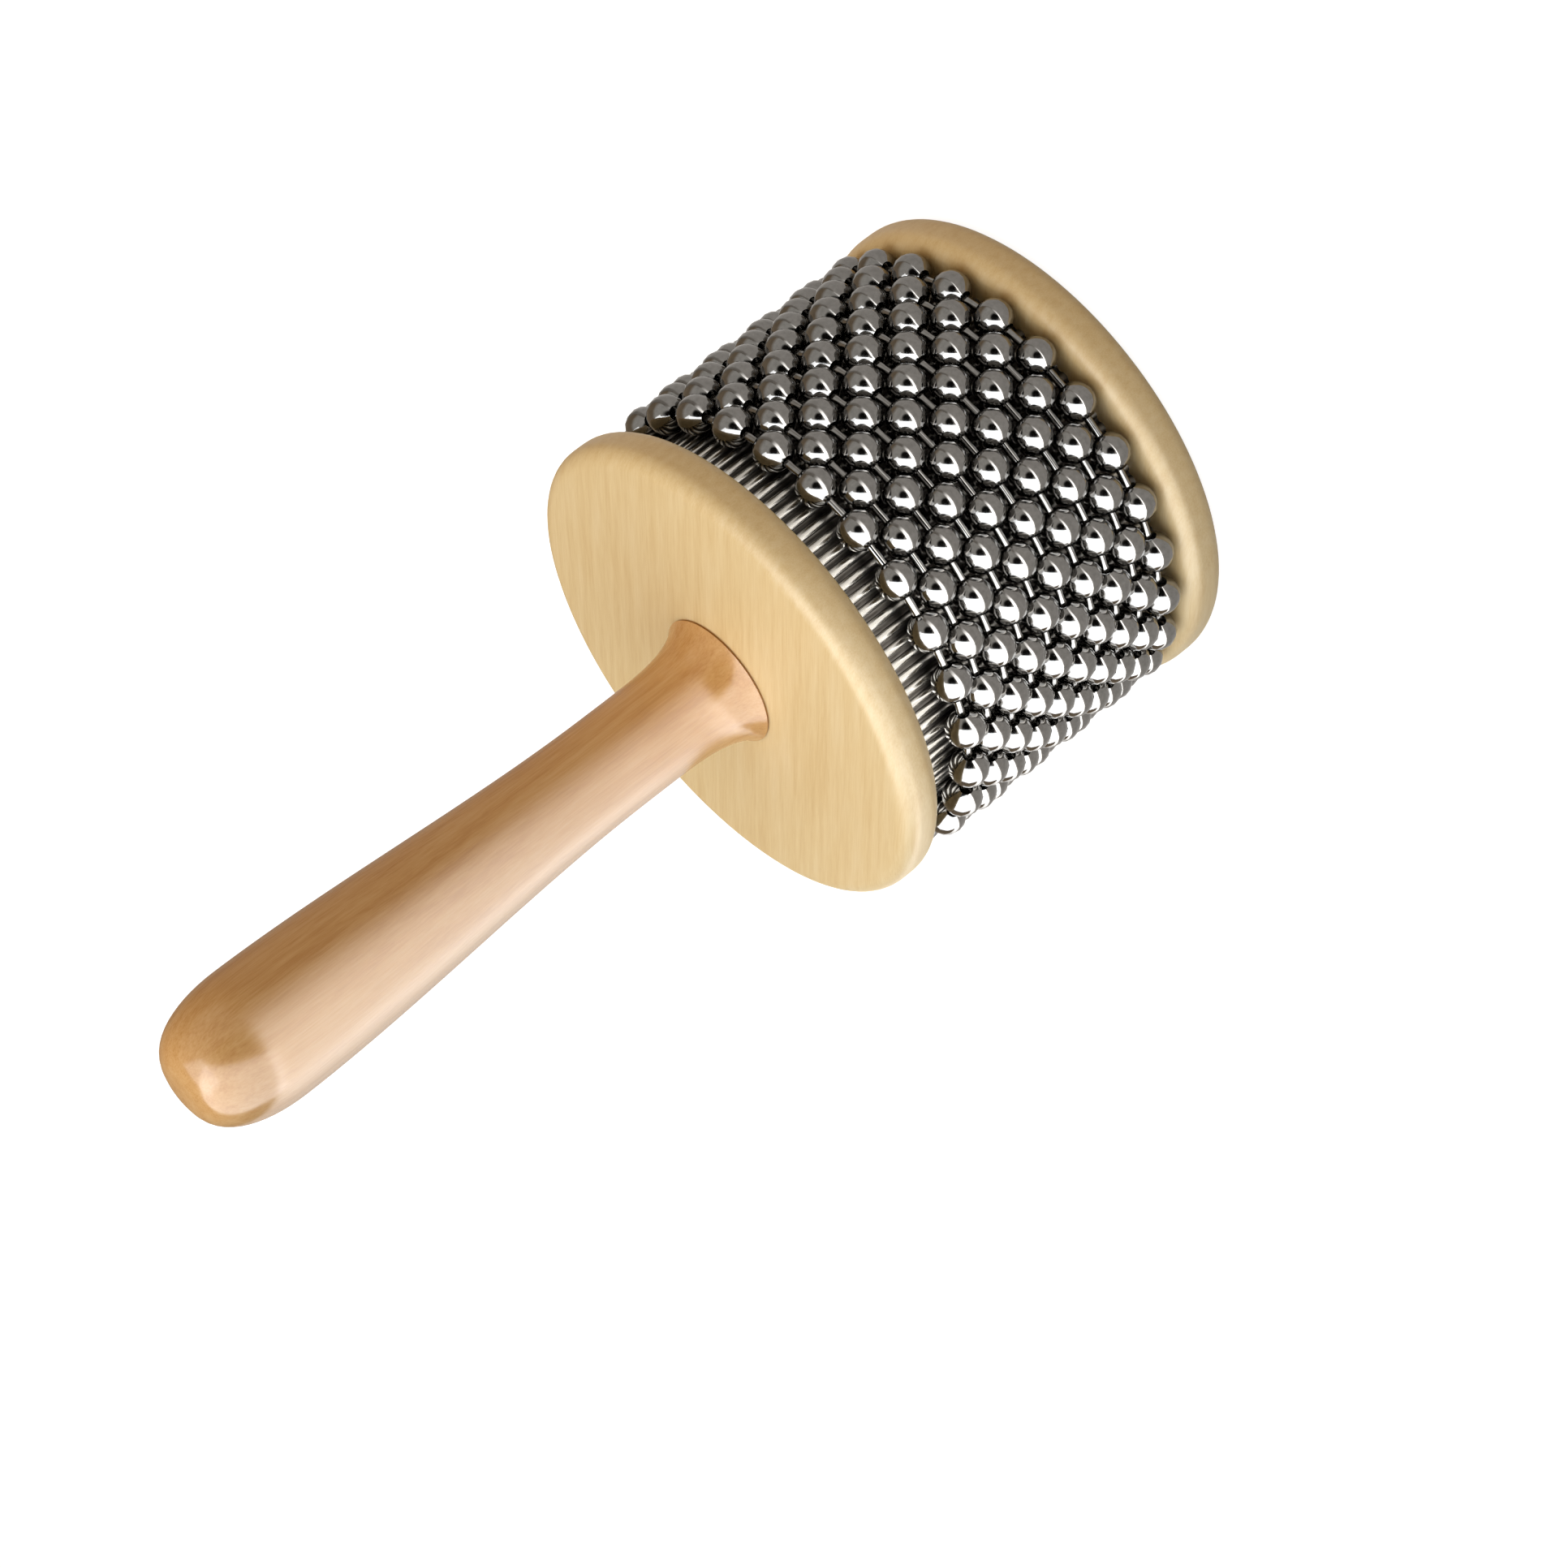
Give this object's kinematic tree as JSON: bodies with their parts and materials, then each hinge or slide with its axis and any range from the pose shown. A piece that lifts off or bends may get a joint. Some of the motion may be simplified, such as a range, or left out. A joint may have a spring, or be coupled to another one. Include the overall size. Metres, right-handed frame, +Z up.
{
  "type": "cabasa",
  "caption": "Hand percussion shaker: a turned wooden handle and a short drum between two wooden discs, wrapped with loose loops of steel ball chain on a ribbed steel sleeve.",
  "frame": {"origin": "on the axis, at the flat outer face of the rear disc, on which it stands", "axes": "+Z up along the axis from the rear disc to the handle's butt, +Y towards the seam of the sleeve"},
  "size_m": [0.085, 0.085, 0.18],
  "materials": {
    "handle_wood": "lacquered turned beech",
    "disc_wood": "lacquered pale hardwood",
    "core_wood": "raw pine",
    "sleeve_steel": "rolled ribbed sheet",
    "chain_steel": "black nickel plated",
    "fastener_steel": "zinc plated"
  },
  "bodies": {
    "drum": {"handle": "handle_wood", "front_disc": "disc_wood", "rear_disc": "disc_wood", "drum_core": "core_wood", "ribbed_sleeve": "sleeve_steel", "sleeve_tacks": "fastener_steel", "screw_washer": "fastener_steel", "tie_screw": "fastener_steel"},
    "chain_loop_1": {"chain_balls_1": "chain_steel", "chain_links_1": "chain_steel"},
    "chain_loop_2": {"chain_balls_2": "chain_steel", "chain_links_2": "chain_steel"},
    "chain_loop_3": {"chain_balls_3": "chain_steel", "chain_links_3": "chain_steel"},
    "chain_loop_4": {"chain_balls_4": "chain_steel", "chain_links_4": "chain_steel"},
    "chain_loop_5": {"chain_balls_5": "chain_steel", "chain_links_5": "chain_steel"},
    "chain_loop_6": {"chain_balls_6": "chain_steel", "chain_links_6": "chain_steel"},
    "chain_loop_7": {"chain_balls_7": "chain_steel", "chain_links_7": "chain_steel"},
    "chain_loop_8": {"chain_balls_8": "chain_steel", "chain_links_8": "chain_steel"},
    "chain_loop_9": {"chain_balls_9": "chain_steel", "chain_links_9": "chain_steel"},
    "chain_loop_10": {"chain_balls_10": "chain_steel", "chain_links_10": "chain_steel"}
  },
  "joints": [
    {"name": "chain_loop_5_turn", "type": "hinge", "parent": "drum", "child": "chain_loop_5", "pos_m": [0, 0, 0], "axis": [0, 0, 1], "continuous": true},
    {"name": "chain_loop_1_turn", "type": "hinge", "parent": "drum", "child": "chain_loop_1", "pos_m": [0, 0, 0], "axis": [0, 0, 1], "continuous": true},
    {"name": "chain_loop_2_turn", "type": "hinge", "parent": "drum", "child": "chain_loop_2", "pos_m": [0, 0, 0], "axis": [0, 0, 1], "continuous": true},
    {"name": "chain_loop_3_turn", "type": "hinge", "parent": "drum", "child": "chain_loop_3", "pos_m": [0, 0, 0], "axis": [0, 0, 1], "continuous": true},
    {"name": "chain_loop_4_turn", "type": "hinge", "parent": "drum", "child": "chain_loop_4", "pos_m": [0, 0, 0], "axis": [0, 0, 1], "continuous": true},
    {"name": "chain_loop_6_turn", "type": "hinge", "parent": "drum", "child": "chain_loop_6", "pos_m": [0, 0, 0], "axis": [0, 0, 1], "continuous": true},
    {"name": "chain_loop_7_turn", "type": "hinge", "parent": "drum", "child": "chain_loop_7", "pos_m": [0, 0, 0], "axis": [0, 0, 1], "continuous": true},
    {"name": "chain_loop_8_turn", "type": "hinge", "parent": "drum", "child": "chain_loop_8", "pos_m": [0, 0, 0], "axis": [0, 0, 1], "continuous": true},
    {"name": "chain_loop_9_turn", "type": "hinge", "parent": "drum", "child": "chain_loop_9", "pos_m": [0, 0, 0], "axis": [0, 0, 1], "continuous": true},
    {"name": "chain_loop_10_turn", "type": "hinge", "parent": "drum", "child": "chain_loop_10", "pos_m": [0, 0, 0], "axis": [0, 0, 1], "continuous": true}
  ],
  "couplings": [
    {"joint": "chain_loop_1_turn", "follows": "chain_loop_5_turn", "ratio": 1},
    {"joint": "chain_loop_2_turn", "follows": "chain_loop_5_turn", "ratio": 1},
    {"joint": "chain_loop_3_turn", "follows": "chain_loop_5_turn", "ratio": 1},
    {"joint": "chain_loop_4_turn", "follows": "chain_loop_5_turn", "ratio": 1},
    {"joint": "chain_loop_6_turn", "follows": "chain_loop_5_turn", "ratio": 1},
    {"joint": "chain_loop_7_turn", "follows": "chain_loop_5_turn", "ratio": 1},
    {"joint": "chain_loop_8_turn", "follows": "chain_loop_5_turn", "ratio": 1},
    {"joint": "chain_loop_9_turn", "follows": "chain_loop_5_turn", "ratio": 1},
    {"joint": "chain_loop_10_turn", "follows": "chain_loop_5_turn", "ratio": 1}
  ]
}
